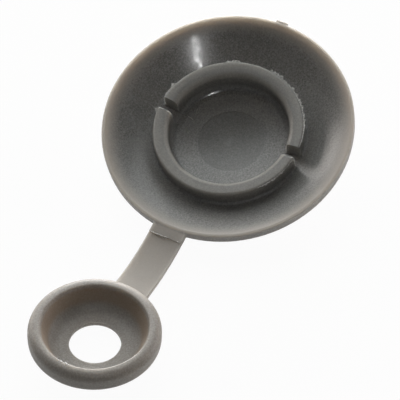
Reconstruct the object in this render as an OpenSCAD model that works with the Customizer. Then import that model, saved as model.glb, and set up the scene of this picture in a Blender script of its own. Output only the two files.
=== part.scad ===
// Hinged screw cover cap for car trim: a domed cover with a snap ring inside, a short strap and
// a washer cup for the screw, moulded in one piece. Folded over, the ring snaps on the bead of
// the washer cup and hides the screw.
// Millimetres. The cap lies open and balanced on its dome on a table at z = 0.
// X runs along the strap from the cover to the washer cup, and y = 0 is the mirror plane.

/* [Cover] */
// Diameter across the rim
cover_d = 25; // [22:0.5:28]
// Depth of the dish below the rim, at the middle
dish_depth = 4; // [3.6:0.1:4.4]
// Wall at the crown of the dome
crown_wall = 0.9; // [0.8:0.1:1.4]
// Height of the straight edge around the rim
edge_h = 1.1; // [0.9:0.1:1.4]
// Width of the land on top of the rim
rim_land = 0.3; // [0.2:0.05:0.6]
// Diameter of the shallow ejector mark in the dish
pin_d = 6.8; // [4:0.2:8]
// Width of the gate stub on the rim, opposite the strap
gate_w = 1.2; // [0.8:0.1:1.6]
// How far the gate stub stands out of the rim
gate_proud = 0.25; // [0.1:0.05:0.4]

/* [Snap ring] */
// How much smaller than the bead the ring is, on each side
snap_grip = 0.05; // [0:0.05:0.2]
// Thickness of the ring
ring_wall = 1.5; // [1.2:0.1:2]
// How far the ring's edge lies below the rim
ring_drop = 0.9; // [0.5:0.1:1.2]
// Rounding that leads the bead into the ring
lead_in = 0.6; // [0.3:0.05:0.8]
// Width of the two slots that let the ring spread
slot_w = 1.2; // [0.8:0.1:2]

/* [Strap] */
// Width of the strap
strap_w = 3.4; // [2.4:0.1:4.4]
// Thickness of the strap
strap_t = 0.6; // [0.5:0.05:0.8]
// Free length from the cover's edge to the bead
strap_len = 8.4; // [8:0.2:12]
// Length of the stiff tab at the cover's edge
tab_len = 1; // [0.6:0.1:1.6]
// Step down from the tab to the strap
tab_step = 0.12; // [0.05:0.01:0.25]
// Angle the strap is bent up by
strap_bend = 19.5; // [15:0.5:22]
// Radius of the bend on the upper side
bend_r = 16; // [10:0.5:17]

/* [Washer cup] */
// Diameter over the bead
bead_d = 12.2; // [11.8:0.1:13]
// Height of the bead
bead_h = 2; // [1.8:0.1:2.2]
// Diameter of the mouth, at the top of the cup
mouth_d = 10; // [9.4:0.1:10.2]
// Height from the seat to the top of the bead
cup_h = 2.8; // [2.7:0.1:3.2]
// Lean of the cup's wall
cup_draft = 25; // [18:1:30]
// Slope of the cup's floor towards the hole
floor_slope = 11; // [5:1:15]
// Hole for a 4.2 mm trim screw
hole_d = 4.8; // [3.8:0.1:5.4]
// Length of the hole
hole_land = 0.4; // [0.3:0.05:0.6]
// Diameter of the neck that stands on the panel
neck_d = 10.6; // [10:0.1:11]
// Height of the strap's upper side above the seat
strap_level = 1.1; // [1:0.05:1.6]

/* [Lie] */
// Lean at which the open cap balances on its dome
rest_lean = 15.4; // [12:0.1:17]

/* [Hidden] */
$fn = 96;
grey = [0.55, 0.54, 0.52];

cover_r = cover_d / 2;
cover_h = dish_depth + crown_wall;
// Roundings of the rim, the foot of the straight edge and the inner edge of the land
rim_round = 0.12;
edge_round = 0.4;
land_round = 0.15;
// Overlaps that make pieces of the moulding run into each other, and reach of cuts past a face
sink = 0.02;
root = 0.6;
past = 1;

// Spheres of the dish and the dome, through the rim and the middle
land_r = cover_r - rim_land;
dish_r = (land_r * land_r + dish_depth * dish_depth) / (2 * dish_depth);
dish_z = dish_r - dish_depth;
dome_sag = cover_h - edge_h;
dome_r = (cover_r * cover_r + dome_sag * dome_sag) / (2 * dome_sag);
dome_z = dome_r - cover_h;
pin_r = pin_d / 2;
pin_sink = 0.06;
gate_t = 0.4;
gate_top = -rim_round / 2;

bead_r = bead_d / 2;
mouth_r = mouth_d / 2;
hole_r = hole_d / 2;
neck_r = neck_d / 2;
bead_z = cup_h - bead_h;
mouth_round = 0.15;
lip_round = 0.8;
bead_top_round = min(lip_round, bead_r - mouth_r - mouth_round);
bead_foot_round = 0.6;
cup_round = 1.5;
seat_round = 0.3;

ring_in = bead_r - snap_grip;
ring_out = ring_in + ring_wall;
ring_edge_round = 0.2;
ring_root = 0.3;
ring_base = (dish_height(ring_in) + dome_height(ring_out)) / 2;

strap_foot = tab_step + strap_t;
tab_fillet = 0.4;
bead_fillet = 1.5;
bend_x = cover_r + tab_len;
bend_z = bend_r - tab_step;
bend_run = bend_r * strap_bend * PI / 180;
bend_t = 2 * strap_t;
strap_run = strap_len - tab_len - bend_run;
cup_root = bead_r - neck_r + root;
washer_x = strap_run + bead_r;
washer_z = -tab_step - strap_level;

// Lie of the open cap on its dome: it can lean no further than until the rounded edge of the seat
// touches the table
seat_edge = bent([washer_x - neck_r + seat_round, washer_z + seat_round]);
seat_way = seat_edge - [0, dome_z];
touch_lean = 90 + atan2(seat_way[1], seat_way[0]) - acos((dome_r - seat_round) / norm(seat_way));
cover_lean = min(rest_lean, touch_lean);
edge_foot_z = dome_z - sqrt(pow(dome_r - edge_round, 2) - pow(cover_r - edge_round, 2));
edge_left = along_x([-(cover_r - edge_round), edge_foot_z]) - edge_round;
gate_left = along_x([-(cover_r + gate_proud), gate_top - gate_t]);
far_left = min(edge_left, gate_left);
bead_foot = [washer_x + bead_r - bead_foot_round, washer_z + bead_z + bead_foot_round];
far_right = along_x(bent(bead_foot)) + bead_foot_round;

function dir(a) = [cos(a), sin(a)];
// Height of the dish and of the dome at a distance from the cover's axis
function dish_height(r) = dish_z - sqrt(dish_r * dish_r - r * r);
function dome_height(r) = dome_z - sqrt(dome_r * dome_r - r * r);
// Radius of the bead at a height above the seat
function bead_at(z) =
    bead_r - bead_foot_round
    + sqrt(pow(bead_foot_round, 2) - pow(max(0, bead_z + bead_foot_round - z), 2));
// Where a point beyond the bend comes to lie in the cover's own x and z
function bent(p) = [
    bend_x + p[0] * cos(strap_bend) - (p[1] - bend_z) * sin(strap_bend),
    bend_z + p[0] * sin(strap_bend) + (p[1] - bend_z) * cos(strap_bend)
];
// Distance along the table of a point given in the cover's own x and z
function along_x(p) = p[0] * cos(cover_lean) + (p[1] - dome_z) * sin(cover_lean);

// The bit between a rounding and its corner: taken off an outside corner, added to an inside one
module corner(c, r, from, to) {
    reach = 1.3 * r;
    difference() {
        polygon([
            c,
            c + reach * dir(from),
            c + reach / cos((to - from) / 2) * dir((from + to) / 2),
            c + reach * dir(to)
        ]);
        translate(c) circle(r);
    }
}

// Half section of the domed cover without its ring
module cover_section() {
    land_c = [sqrt(pow(dish_r + land_round, 2) - pow(dish_z + land_round, 2)), -land_round];
    foot_c = [cover_r - edge_round, edge_foot_z];
    difference() {
        intersection() {
            translate([0, dome_z]) circle(dome_r);
            translate([0, -cover_h - past]) square([cover_r, cover_h + past]);
        }
        translate([0, dish_z]) circle(dish_r);
        intersection() {
            translate([0, dish_z]) circle(dish_r + pin_sink);
            translate([0, -cover_h]) square([pin_r, cover_h]);
        }
        corner([cover_r - rim_round, -rim_round], rim_round, 0, 90);
        corner(land_c, land_round, 90, atan2(dish_z - land_c[1], -land_c[0]));
        corner(foot_c, edge_round, atan2(foot_c[1] - dome_z, foot_c[0]), 0);
    }
}

// Half section of the snap ring, from the dish's wall to its rounded edge
module ring_section() {
    reach = dish_r - ring_root + sink;
    in_x = ring_in - ring_root + sink;
    in_c = [in_x, dish_z - sqrt(reach * reach - in_x * in_x)];
    out_x = ring_out + ring_root - sink;
    out_c = [out_x, dish_z - sqrt(reach * reach - out_x * out_x)];
    difference() {
        translate([ring_in, ring_base]) square([ring_wall, -ring_drop - ring_base]);
        corner([ring_in + lead_in, -ring_drop - lead_in], lead_in, 90, 180);
        corner([ring_out - ring_edge_round, -ring_drop - ring_edge_round], ring_edge_round, 0, 90);
    }
    corner(in_c, ring_root, atan2(in_c[1] - dish_z, in_c[0]), 0);
    corner(out_c, ring_root, 180, 360 + atan2(out_c[1] - dish_z, out_c[0]));
}

// Domed cover with the slotted ring that snaps over the bead, and the stub where its gate broke off
module cover() {
    rotate_extrude() cover_section();
    translate([-cover_r - gate_proud, -gate_w / 2, gate_top - gate_t])
        cube([gate_proud + rim_land, gate_w, gate_t]);
    difference() {
        rotate_extrude() ring_section();
        translate([0, 0, (ring_base - ring_drop) / 2])
            cube([slot_w, 2 * (ring_out + past), 2 * cover_h], center = true);
    }
}

// Fillets in the two corners between the strap and a round edge about the origin
module side_fillets(r, fillet) {
    y = strap_w / 2 + fillet - sink;
    x = sqrt(pow(r + fillet - sink, 2) - y * y);
    for (side = [0, 1]) mirror([0, side]) corner([x, y], fillet, 180 + atan2(y, x), 270);
}

// Side view of all that lies on the hollow side of the bend, longer at both ends by more
module bend_side(r, more) {
    start = [cover_r - rim_land - more, bend_z - r];
    end = [bend_x, bend_z] + r * dir(270 + strap_bend) + (strap_run + cup_root + more) * dir(strap_bend);
    difference() {
        polygon([
            start,
            [bend_x + r * tan(strap_bend / 2), bend_z - r],
            end,
            end + (bend_t + more) * dir(90 + strap_bend),
            start + [0, bend_t + more]
        ]);
        corner([bend_x, bend_z], r, 270, 270 + strap_bend);
    }
}

// Stiff tab on the cover's edge, and the strap bent up from it that runs into the bead
module strap() {
    rotate([90, 0, 0]) linear_extrude(strap_w, center = true) {
        difference() {
            bend_side(bend_r + strap_t, 0);
            bend_side(bend_r, root);
        }
        translate([cover_r - rim_land, -strap_foot + sink])
            square([rim_land + tab_len, strap_foot - 2 * sink]);
    }
    translate([0, 0, -strap_foot + sink]) linear_extrude(strap_foot - 3 * sink)
        side_fillets(cover_r, tab_fillet);
}

// Half section of the washer cup, seat at zero
module washer_section() {
    wall_x = mouth_r - mouth_round * tan(cup_draft);
    flat_run = mouth_r - (cup_h - hole_land) * tan(cup_draft) - hole_r;
    run = flat_run / (1 - tan(floor_slope) * tan(cup_draft));
    low = [hole_r + run, hole_land + run * tan(floor_slope)];
    half = (90 + floor_slope + cup_draft) / 2;
    round_c = low + cup_round / sin(half) * dir(90 - cup_draft + half);
    difference() {
        union() {
            square([neck_r, cup_h - root]);
            translate([0, bead_z]) square([bead_r, bead_h]);
        }
        translate([0, -past]) square([hole_r, cup_h + 2 * past]);
        difference() {
            polygon([
                [0, hole_land],
                [hole_r, hole_land],
                low,
                [mouth_r, cup_h],
                [mouth_r, cup_h + past],
                [0, cup_h + past]
            ]);
            corner(round_c, cup_round, floor_slope - 90, -cup_draft);
        }
        corner(
            [wall_x + mouth_round / cos(cup_draft), cup_h - mouth_round],
            mouth_round, 90, 180 - cup_draft
        );
        corner([bead_r - bead_top_round, cup_h - bead_top_round], bead_top_round, 0, 90);
        corner([bead_r - bead_foot_round, bead_z + bead_foot_round], bead_foot_round, -90, 0);
        corner([neck_r - seat_round, seat_round], seat_round, -90, 0);
    }
}

// Cup that holds the screw's head, with the bead the cover snaps on and the fillets of the strap
module washer_cup() {
    rotate_extrude() washer_section();
    translate([0, 0, strap_level - strap_t + sink]) linear_extrude(strap_t - 2 * sink)
        mirror([1, 0]) side_fillets(bead_at(strap_level), bead_fillet);
}

// The whole moulding as it lies open on the table
module hinged_screw_cap() {
    color(grey)
        translate([-(far_left + far_right) / 2, 0, dome_r])
            rotate([0, cover_lean, 0])
                translate([0, 0, -dome_z]) {
                    cover();
                    strap();
                    translate([bend_x, 0, bend_z])
                        rotate([0, -strap_bend, 0])
                            translate([washer_x, 0, washer_z - bend_z])
                                washer_cup();
                }
}

hinged_screw_cap();
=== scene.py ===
import math
import random

import bpy
from mathutils import Matrix, Vector


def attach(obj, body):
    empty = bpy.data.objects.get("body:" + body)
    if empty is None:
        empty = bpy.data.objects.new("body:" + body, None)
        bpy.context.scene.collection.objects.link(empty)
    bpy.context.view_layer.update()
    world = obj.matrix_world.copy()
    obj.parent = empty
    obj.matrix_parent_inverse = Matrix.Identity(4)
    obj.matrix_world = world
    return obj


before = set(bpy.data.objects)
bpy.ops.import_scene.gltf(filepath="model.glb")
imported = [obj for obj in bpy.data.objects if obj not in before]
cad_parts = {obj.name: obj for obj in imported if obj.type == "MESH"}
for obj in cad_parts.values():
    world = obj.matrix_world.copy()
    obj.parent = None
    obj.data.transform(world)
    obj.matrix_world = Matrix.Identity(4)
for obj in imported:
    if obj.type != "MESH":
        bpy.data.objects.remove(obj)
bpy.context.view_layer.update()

# The moulding: domed cover with its snap ring, strap and washer cup in one shot of grey polypropylene.
# The steel mould leaves a fine satin grain. Thin walls are painted paler and warmer, a painted glow for the
# light that shines through them.
MM = 0.001
COVER_LEAN = math.radians(15.4)
RIM_CENTRE = Vector((-10.03, 0, 5.53))
COVER_AXIS = Vector((math.sin(COVER_LEAN), 0, math.cos(COVER_LEAN)))
COVER_X = Vector((math.cos(COVER_LEAN), 0, -math.sin(COVER_LEAN)))
RIM_R = 12.5
RUBBED_TURN = math.radians(222)
RUBBED_WAY = COVER_X * math.cos(RUBBED_TURN) + Vector((0, math.sin(RUBBED_TURN), 0))
WASHER_FOOT = Vector((16.459, 0, 0.775))
WASHER_AXIS = Vector((-0.0715, 0, 0.9974))
GRAIN_DEPTH = 0.0072
# Each pair says where a tint or a gloss starts to come in, or to go, and where that is complete, in mm.
EJECTOR_SIDE, EJECTOR_FLOOR = (3.3, 3.45), (-4.6, -4.3)
RING_FLOOR_TO, GLOSS_FROM = (5.7, 5.9), (5.1, 5.35)
RING_TOP_FROM, RING_TOP_TO, RING_TOP_HEIGHT = (5.6, 6), (7.6, 7.8), (-2, -1)
DISH_FROM, DISH_TO = (7.9, 8.5), (10.6, 12.2)
RUBBED_FROM, SCUFFED_FROM = (2, 5), (6.5, 7.5)
RIM_GLOW_FROM, RIM_GLOW_TO = (10.7, 12.4), (RIM_R - 0.06, RIM_R + 0.02)
STRAP_FROM, STRAP_TO = (RIM_R - 0.2, RIM_R + 0.2), (20.5, 22.1)
CUP_WALL_FROM, CUP_WALL_TO, CUP_WALL_SIDE = (0.9, 1.5), (2.3, 2.6), (4.9, 5.1)


class Wire:
    """A socket of a shader. Sums of wires and numbers add Math nodes to its tree."""

    def __init__(self, tree, socket=None):
        self.tree = tree
        self.socket = socket

    def node(self, kind, settings=None, sockets=None, out=0):
        """A node of that kind, with its settings made first and then its sockets filled or linked."""
        made = self.tree.nodes.new(kind)
        for name, value in (settings or {}).items():
            setattr(made, name, value)
        for name, value in (sockets or {}).items():
            if isinstance(value, Wire):
                self.tree.links.new(value.socket, made.inputs[name])
            else:
                made.inputs[name].default_value = value
        return Wire(self.tree, made.outputs[out])

    def math(self, operation, first, second):
        return self.node("ShaderNodeMath", {"operation": operation}, {0: first, 1: second})

    def __add__(self, other):
        return self.math("ADD", self, other)

    def __radd__(self, other):
        return self.math("ADD", other, self)

    def __sub__(self, other):
        return self.math("SUBTRACT", self, other)

    def __rsub__(self, other):
        return self.math("SUBTRACT", other, self)

    def __mul__(self, other):
        return self.math("MULTIPLY", self, other)

    def __rmul__(self, other):
        return self.math("MULTIPLY", other, self)

    def __pow__(self, other):
        return self.math("POWER", self, other)

    def vector(self, operation, other, out=0):
        return self.node("ShaderNodeVectorMath", {"operation": operation}, {0: self, 1: other}, out)

    def rise(self, start, end):
        """0 up to start and 1 from end on, with a smooth rise between them."""
        return self.node("ShaderNodeMapRange", {"interpolation_type": "SMOOTHSTEP"},
                         {"Value": self, "From Min": start, "From Max": end})

    def tint(self, colour, share):
        """This colour with a share of another one laid over it."""
        return self.node("ShaderNodeMix", {"data_type": "RGBA"}, {0: share, 6: self, 7: colour}, 2)


def srgb(red, green, blue):
    """A colour written as a screen shows it, 0 to 255, in linear light."""
    return [((c / 255 + 0.055) / 1.055) ** 2.4 for c in (red, green, blue)] + [1]


def round_axis(at, foot, axis):
    """How far a place lies out from an axis, and how high above the axis's foot."""
    away = at.vector("SUBTRACT", foot)
    height = away.vector("DOT_PRODUCT", axis, 1)
    return (away.vector("DOT_PRODUCT", away, 1) - height * height) ** 0.5, height


plastic = bpy.data.materials.new("satin_grey")
plastic.use_nodes = True
shader = plastic.node_tree.nodes["Principled BSDF"]
start = Wire(plastic.node_tree)
at = start.node("ShaderNodeTexCoord", out=3).vector("MULTIPLY", (1 / MM,) * 3)
from_rim = at.vector("SUBTRACT", RIM_CENTRE)
radius, height = round_axis(at, RIM_CENTRE, COVER_AXIS)

mottle = start.node("ShaderNodeTexNoise", None, {"Vector": at, "Scale": 0.25, "Detail": 3})
speckle = start.node("ShaderNodeTexNoise", None, {"Vector": at, "Scale": 6, "Detail": 3, "Roughness": 0.7})
body = start.node("ShaderNodeMix", {"data_type": "RGBA"},
                  {0: mottle.rise(0.35, 0.65), 6: srgb(137, 136, 133), 7: srgb(143, 141, 138)}, 2)
body = body.tint(srgb(178, 174, 170), speckle.rise(0.47, 0.7) * 0.6)
body = body.tint(srgb(96, 94, 92), (1 - speckle).rise(0.47, 0.7) * 0.5)
along = from_rim.vector("DOT_PRODUCT", COVER_X, 1)
washer_side = along.rise(*STRAP_TO)
rim_painted_glow = radius.rise(*RIM_GLOW_FROM) * (1 - radius.rise(*RIM_GLOW_TO))
strap_painted_glow = along.rise(*STRAP_FROM) * (1 - 0.85 * washer_side)
# Painted glow: the thin rim and the strap are painted paler and warmer, for light shining through thin
# plastic.
body = body.tint(srgb(192, 185, 177), rim_painted_glow * 0.82 + strap_painted_glow * 0.78)
# Painted glow: a slight warm paling over the washer, for light shining through it.
body = body.tint(srgb(180, 163, 146), washer_side * 0.15)
washer_radius, washer_height = round_axis(at, WASHER_FOOT, WASHER_AXIS)
# Painted glow: the cup's inner wall is painted brown, for warm light shining through the wall.
cup_painted_glow = washer_height.rise(*CUP_WALL_FROM) * (1 - washer_height.rise(*CUP_WALL_TO))
cup_painted_glow = cup_painted_glow * (1 - washer_radius.rise(*CUP_WALL_SIDE))
body = body.tint(srgb(152, 129, 104), cup_painted_glow * 0.55)
# Painted highlight: the ring's top is painted paler where light falls on it.
ring_top_painted_light = radius.rise(*RING_TOP_FROM) * (1 - radius.rise(*RING_TOP_TO)) * height.rise(*RING_TOP_HEIGHT)
body = body.tint(srgb(184, 179, 171), ring_top_painted_light * 0.4)
pressed = (1 - radius.rise(*EJECTOR_SIDE)) * height.rise(*EJECTOR_FLOOR)
body = body.tint(srgb(110, 110, 107), pressed * 0.4)
plastic.node_tree.links.new(body.socket, shader.inputs["Base Color"])
grain = start.node("ShaderNodeTexNoise", None, {"Vector": at, "Scale": 5, "Detail": 4, "Roughness": 0.6})
dents = start.node("ShaderNodeBump", None, {"Strength": 1, "Distance": MM, "Height": grain * GRAIN_DEPTH})
plastic.node_tree.links.new(dents.socket, shader.inputs["Normal"])
smooth = (1 - radius.rise(*RING_FLOOR_TO)) + radius.rise(*DISH_FROM) * (1 - radius.rise(*DISH_TO))
patch = start.node("ShaderNodeTexNoise", None, {"Vector": at, "Scale": 1.6, "Detail": 4, "Roughness": 0.7})
rubbed = from_rim.vector("DOT_PRODUCT", RUBBED_WAY, 1).rise(*RUBBED_FROM)
scuff = start.node("ShaderNodeTexNoise", None, {"Vector": at, "Scale": 5, "Detail": 3, "Roughness": 0.7})
scuffed = 1 - 0.8 * radius.rise(*SCUFFED_FROM) * scuff.rise(0.46, 0.56)
polish = radius.rise(*GLOSS_FROM) * smooth * rubbed * (0.35 + 0.65 * patch.rise(0.4, 0.58)) * scuffed
satin = 0.46 + speckle * 0.08 - smooth * 0.21 - polish * 0.16
plastic.node_tree.links.new(satin.socket, shader.inputs["Roughness"])
plastic.node_tree.links.new(polish.socket, shader.inputs["Coat Weight"])
shader.inputs["Coat Roughness"].default_value = 0.09
shader.inputs["Specular IOR Level"].default_value = 0.65
shader.inputs["Subsurface Weight"].default_value = 1
shader.inputs["Subsurface Radius"].default_value = (1, 0.94, 0.86)
shader.inputs["Subsurface Scale"].default_value = 1.5 * MM
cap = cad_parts["hinged_screw_cap"]
cap.data.materials.clear()
cap.data.materials.append(plastic)

# The ring's inner foot: a small hollow fillet between the snap ring and the dish, in two stretches
# between the slots. It is part of the same moulding and catches a bright arc of light.
RING_IN_R = 6.05
FOOT_R = 0.8
FOOT_STEPS = 12
FOOT_BURIED_OUT, FOOT_BURIED_DOWN = 0.6, 0.35
DISH_R, DISH_CENTRE_Z = 20.605, 16.605


def on_cover(radius, turn, z):
    """A place on the table, from a radius and a turn from the strap, in degrees, and z above the rim."""
    turn = math.radians(turn)
    return RIM_CENTRE + (COVER_X * math.cos(turn) + Vector((0, math.sin(turn), 0))) * radius + COVER_AXIS * z


def sweep(name, profiles, material):
    """A closed strip through profiles that have the same number of points, in mm."""
    size = len(profiles[0])
    points = [point * MM for profile in profiles for point in profile]
    faces = [tuple(range(size)), tuple(range(len(points) - 1, len(points) - size - 1, -1))]
    for first in range(0, len(points) - size, size):
        for index in range(size):
            after = (index + 1) % size
            faces.append((first + after, first + index, first + size + index, first + size + after))
    mesh = bpy.data.meshes.new(name)
    mesh.from_pydata(points, [], faces)
    mesh.shade_smooth()
    mesh.set_sharp_from_angle(angle=math.radians(35))
    mesh.materials.append(material)
    piece = bpy.data.objects.new(name, mesh)
    bpy.context.scene.collection.objects.link(piece)
    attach(piece, "root")


foot_mid = RING_IN_R - FOOT_R
foot_low = math.asin(foot_mid / (DISH_R - FOOT_R))
foot_z = DISH_CENTRE_Z - (DISH_R - FOOT_R) * math.cos(foot_low)
tilts = [foot_low + (math.pi / 2 - foot_low) * index / FOOT_STEPS for index in range(FOOT_STEPS + 1)]
foot = [(foot_mid + FOOT_R * math.sin(tilt), foot_z - FOOT_R * math.cos(tilt)) for tilt in tilts]
foot_out = RING_IN_R + FOOT_BURIED_OUT
foot_down = foot[0][1] - FOOT_BURIED_DOWN
foot += [(foot_out, foot[-1][1]), (foot_out, foot_down), (foot[0][0], foot_down)]
for name, first, last in (("foot_far", 96, 264), ("foot_near", 276, 444)):
    turns = [first + 2 * index for index in range((last - first) // 2 + 1)]
    sweep("ring_" + name, [[on_cover(r, turn, z) for r, z in foot] for turn in turns], plastic)

# The ring's crest: a low ridge on top of the snap ring, higher towards its outside and rounded over its edge.
# It is part of the same moulding, in two stretches that end at the slots.
RING_TOP_Z = -0.9
CREST_RISE = 0.14
CREST_IN_R, CREST_TOP_R, CREST_OUT_R = 6.49, 7.3, 7.54
CREST_LOW_Z = -1.05
CREST_SUNK, CREST_BURIED = 0.025, 0.2
CREST_STEPS = 84
SLOT_HALF = 0.62
crest_z = RING_TOP_Z + CREST_RISE
crest = [(CREST_IN_R, RING_TOP_Z - CREST_SUNK)]
crest += [(CREST_TOP_R + (CREST_OUT_R - CREST_TOP_R) * math.sin(tilt),
           CREST_LOW_Z + (crest_z - CREST_LOW_Z) * math.cos(tilt))
          for tilt in [math.pi / 2 * index / 8 for index in range(9)]]
crest += [(CREST_OUT_R, CREST_LOW_Z - CREST_BURIED), (CREST_IN_R, CREST_LOW_Z - CREST_BURIED)]
for name, first in (("far", 90), ("near", 270)):
    profiles = []
    for step in range(CREST_STEPS + 1):
        profile = []
        for r, z in crest:
            gap = math.degrees(math.asin(SLOT_HALF / r))
            profile.append(on_cover(r, first + gap + (180 - 2 * gap) * step / CREST_STEPS, z))
        profiles.append(profile)
    sweep("ring_crest_" + name, profiles, plastic)

# The flash: ragged fins along the snap ring's edge and the tab's step, where the mould's halves met.
# It is the cap's own plastic, squeezed out thin and torn here and there. It is painted paler: partly whitened
# where it tore, partly a painted glint.
FIN_HALF = 0.045
torn = bpy.data.materials.new("torn_plastic")
torn.use_nodes = True
torn_shader = torn.node_tree.nodes["Principled BSDF"]
start = Wire(torn.node_tree)
torn_at = start.node("ShaderNodeTexCoord", out=3).vector("MULTIPLY", (1 / MM,) * 3)
tear = start.node("ShaderNodeTexNoise", None, {"Vector": torn_at, "Scale": 6, "Detail": 3})
# Pale flash colour: partly the whitening of torn plastic, partly a painted glint along the ring's edge.
torn_white_and_glint = start.node("ShaderNodeMix", {"data_type": "RGBA"},
                         {0: tear.rise(0.35, 0.65), 6: srgb(186, 184, 178), 7: srgb(246, 244, 238)}, 2)
torn.node_tree.links.new(torn_white_and_glint.socket, torn_shader.inputs["Base Color"])
torn_shader.inputs["Roughness"].default_value = 0.35
torn_shader.inputs["Subsurface Weight"].default_value = 1
torn_shader.inputs["Subsurface Radius"].default_value = (1, 1, 1)
torn_shader.inputs["Subsurface Scale"].default_value = 0.3 * MM


def fin(name, roots, ways, reach, seed):
    """A thin fin along its roots, which stands out ragged, each time as far as its reach or less."""
    draw = random.Random(seed)
    profiles = []
    for index, (root, way) in enumerate(zip(roots, ways)):
        along = roots[min(index + 1, len(roots) - 1)] - roots[max(index - 1, 0)]
        side = along.cross(way).normalized() * FIN_HALF
        share = 0.2 + 0.8 * draw.random() ** 2 if 0 < index < len(roots) - 1 else 0.05
        profiles.append([root - side, root + side, root + way * reach * share])
    sweep(name, profiles, torn)


# Each stretch on the ring starts and ends at a turn from the strap, in degrees, has its reach in mm
# and stands more upright the more lift it has.
RING_EDGE_R = 7.48
RING_EDGE_Z = -0.88
TEAR_STEP = 1.5
RING_FLASH = ((48, 84, 0.2, 0.15), (95.5, 172, 0.34, 1), (196, 208, 0.34, 1), (250, 263, 0.42, 1),
              (275.5, 280, 0.55, 1))
for first, last, reach, lift in RING_FLASH:
    turns = [first + TEAR_STEP * index for index in range(round((last - first) / TEAR_STEP) + 1)]
    roots = [on_cover(RING_EDGE_R, turn, RING_EDGE_Z) for turn in turns]
    ways = [((root - RIM_CENTRE).normalized() + COVER_AXIS * lift).normalized() for root in roots]
    fin("ring_flash_%d" % first, roots, ways, reach, first)

# The tab's step lies across the strap, so its stretches start and end at a distance from the strap's middle.
STEP_X, STEP_Z = 13.5, -0.04
STEP_TEARS = 12
step_way = (COVER_AXIS + COVER_X * 0.6).normalized()
for name, first, last, reach in (("left", -1.5, 0.3, 0.45), ("right", 1.3, 1.65, 0.25)):
    sides = [first + (last - first) * index / STEP_TEARS for index in range(STEP_TEARS + 1)]
    roots = [on_cover(STEP_X, 0, STEP_Z) + Vector((0, side, 0)) for side in sides]
    fin("step_flash_" + name, roots, [step_way] * len(roots), reach, 7)

# The scratches: three fine burrs on the ring's floor, where something sharp has raised the plastic.
# Each is a line of radii and turns on the dish.
BURR_REACH = 0.06
SCRATCHES = (((5.2, 262.4), (4.9, 262), (4.55, 262.1)), ((4.81, 275.1), (4.65, 279), (4.46, 282.6)),
             ((5.1, 247.5), (4.97, 249.5), (4.85, 251.7), (4.7, 253)))
for index, line in enumerate(SCRATCHES):
    roots = [on_cover(r, turn, DISH_CENTRE_Z - (DISH_R ** 2 - r ** 2) ** 0.5) for r, turn in line]
    fin("scratch_%d" % index, roots, [COVER_AXIS] * len(roots), BURR_REACH, index)

# The crumbs: three torn bits of flash on the washer's lip, still hanging on the moulding.
# They sit at turns round the washer's own middle, in degrees.
WASHER_X = Vector((WASHER_AXIS.z, 0, -WASHER_AXIS.x))
LIP_R, LIP_Z = 5.12, 2.77
CRUMB_STEP, CRUMB_REACH = 0.6, 0.3
lip_middle = WASHER_FOOT + WASHER_AXIS * LIP_Z
for crumb, turn in enumerate((350, 354.5, 360.5)):
    turns = [math.radians(turn + CRUMB_STEP * step) for step in range(-2, 3)]
    roots = [lip_middle + (WASHER_X * math.cos(a) + Vector((0, math.sin(a), 0))) * LIP_R for a in turns]
    fin("lip_crumb_%d" % crumb, roots, [WASHER_AXIS] * len(roots), CRUMB_REACH, crumb)

# The floor: plain white paper that runs far past the picture's edges.
# It shows white to the camera and keeps a soft shadow.
FLOOR_SIDE = 3
PAPER_WHITE = 0.955
PULP_DARK, PULP_PALE = (0.88, 0.88, 0.87, 1), (0.92, 0.92, 0.91, 1)
bpy.ops.mesh.primitive_plane_add(size=FLOOR_SIDE)
floor = bpy.context.object
floor.name = "floor"
paper = bpy.data.materials.new("paper")
paper.use_nodes = True
floor.data.materials.append(paper)
paper_shader = paper.node_tree.nodes["Principled BSDF"]
paper_shader.inputs["Roughness"].default_value = 0.9
start = Wire(paper.node_tree)
fibre = start.node("ShaderNodeTexNoise", None, {"Scale": 400, "Detail": 4})
pulp = start.node("ShaderNodeMix", {"data_type": "RGBA"}, {0: fibre, 6: PULP_DARK, 7: PULP_PALE}, 2)
paper.node_tree.links.new(pulp.socket, paper_shader.inputs["Base Color"])
glow = start.node("ShaderNodeEmission", None, {"Strength": 1.0})
seen = (start.node("ShaderNodeLightPath", out="Is Camera Ray")
        + start.node("ShaderNodeLightPath", out="Is Glossy Ray")
        + start.node("ShaderNodeLightPath", out="Is Transmission Ray"))
shown = start.node("ShaderNodeMixShader", None,
                   {0: seen * PAPER_WHITE, 1: Wire(paper.node_tree, paper_shader.outputs[0]), 2: glow})
paper.node_tree.links.new(shown.socket, paper.node_tree.nodes["Material Output"].inputs["Surface"])

# The light: a wide soft window behind the cap, low soft boxes behind it and beside it,
# and a narrow strip near the camera, which draws the streak down the far wall of the dish.
LAMP_DISTANCE = 0.5
ROOM_LIGHT = 0.02
world = bpy.data.worlds.new("room")
bpy.context.scene.world = world
world.use_nodes = True
world.node_tree.nodes["Background"].inputs["Color"].default_value = (1, 1, 1, 1)
world.node_tree.nodes["Background"].inputs["Strength"].default_value = ROOM_LIGHT


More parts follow.
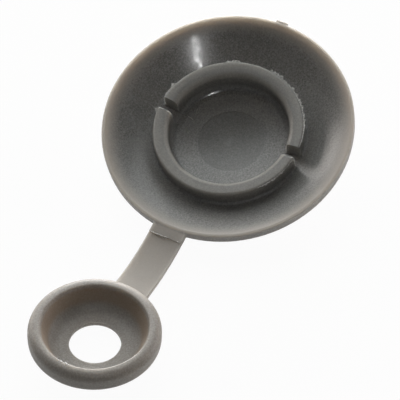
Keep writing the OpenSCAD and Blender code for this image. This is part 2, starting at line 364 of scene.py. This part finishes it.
def lamp(name, azimuth, elevation, width, height, power, colour=(1, 1, 1)):
    """A soft box that faces the cap from that azimuth and elevation."""
    turn, rise = math.radians(azimuth), math.radians(elevation)
    way = Vector((math.sin(turn) * math.cos(rise), -math.cos(turn) * math.cos(rise), math.sin(rise)))
    light = bpy.data.lights.new(name, "AREA")
    light.shape = "RECTANGLE"
    light.size = width
    light.size_y = height
    light.energy = power
    light.color = colour
    made = bpy.data.objects.new(name, light)
    made.location = way * LAMP_DISTANCE
    made.rotation_euler = way.to_track_quat("Z", "Y").to_euler()
    bpy.context.scene.collection.objects.link(made)


lamp("window", 303, 42, 0.6, 0.5, 1.73, (0.96, 1, 1))
lamp("back_low", 295, 8, 0.3, 0.13, 2.5)
lamp("back_right_low", 225, 8, 0.22, 0.22, 1, (1, 0.93, 0.9))
lamp("right_low", 180, 8, 0.22, 0.22, 0.12, (1, 0.88, 0.74))
lamp("left_low", 344, 12, 0.2, 0.22, 0.7, (1, 0.93, 0.88))
lamp("strip", 127, 56, 0.027, 0.15, 0.25)

# The camera stands in front of the cup and to its right, and looks down on the open cap
# through a long lens, so that the near cup and the far rim keep their sizes.
VIEW_TURN = math.radians(117.67)
VIEW_RISE = math.radians(49.10)
VIEW_ROLL = math.radians(-0.17)
VIEW_AIM = Vector((-1.858, 1.282, 3)) * MM
VIEW_DISTANCE = 168.61 * MM
FOCAL_PIXELS = 1750
PICTURE_PIXELS = 400
back = Vector((math.sin(VIEW_TURN) * math.cos(VIEW_RISE), -math.cos(VIEW_TURN) * math.cos(VIEW_RISE),
               math.sin(VIEW_RISE)))
level = Vector((math.cos(VIEW_TURN), math.sin(VIEW_TURN), 0))
right = level * math.cos(VIEW_ROLL) + back.cross(level) * math.sin(VIEW_ROLL)
turned = Matrix((right, back.cross(right), back)).transposed()
view = bpy.data.cameras.new("view")
view.sensor_width = 36
view.lens = view.sensor_width * FOCAL_PIXELS / PICTURE_PIXELS
view.clip_start = 0.01
camera = bpy.data.objects.new("camera", view)
camera.matrix_world = Matrix.Translation(VIEW_AIM + back * VIEW_DISTANCE) @ turned.to_4x4()
bpy.context.scene.collection.objects.link(camera)
bpy.context.scene.camera = camera
bpy.context.scene.view_settings.view_transform = "Standard"
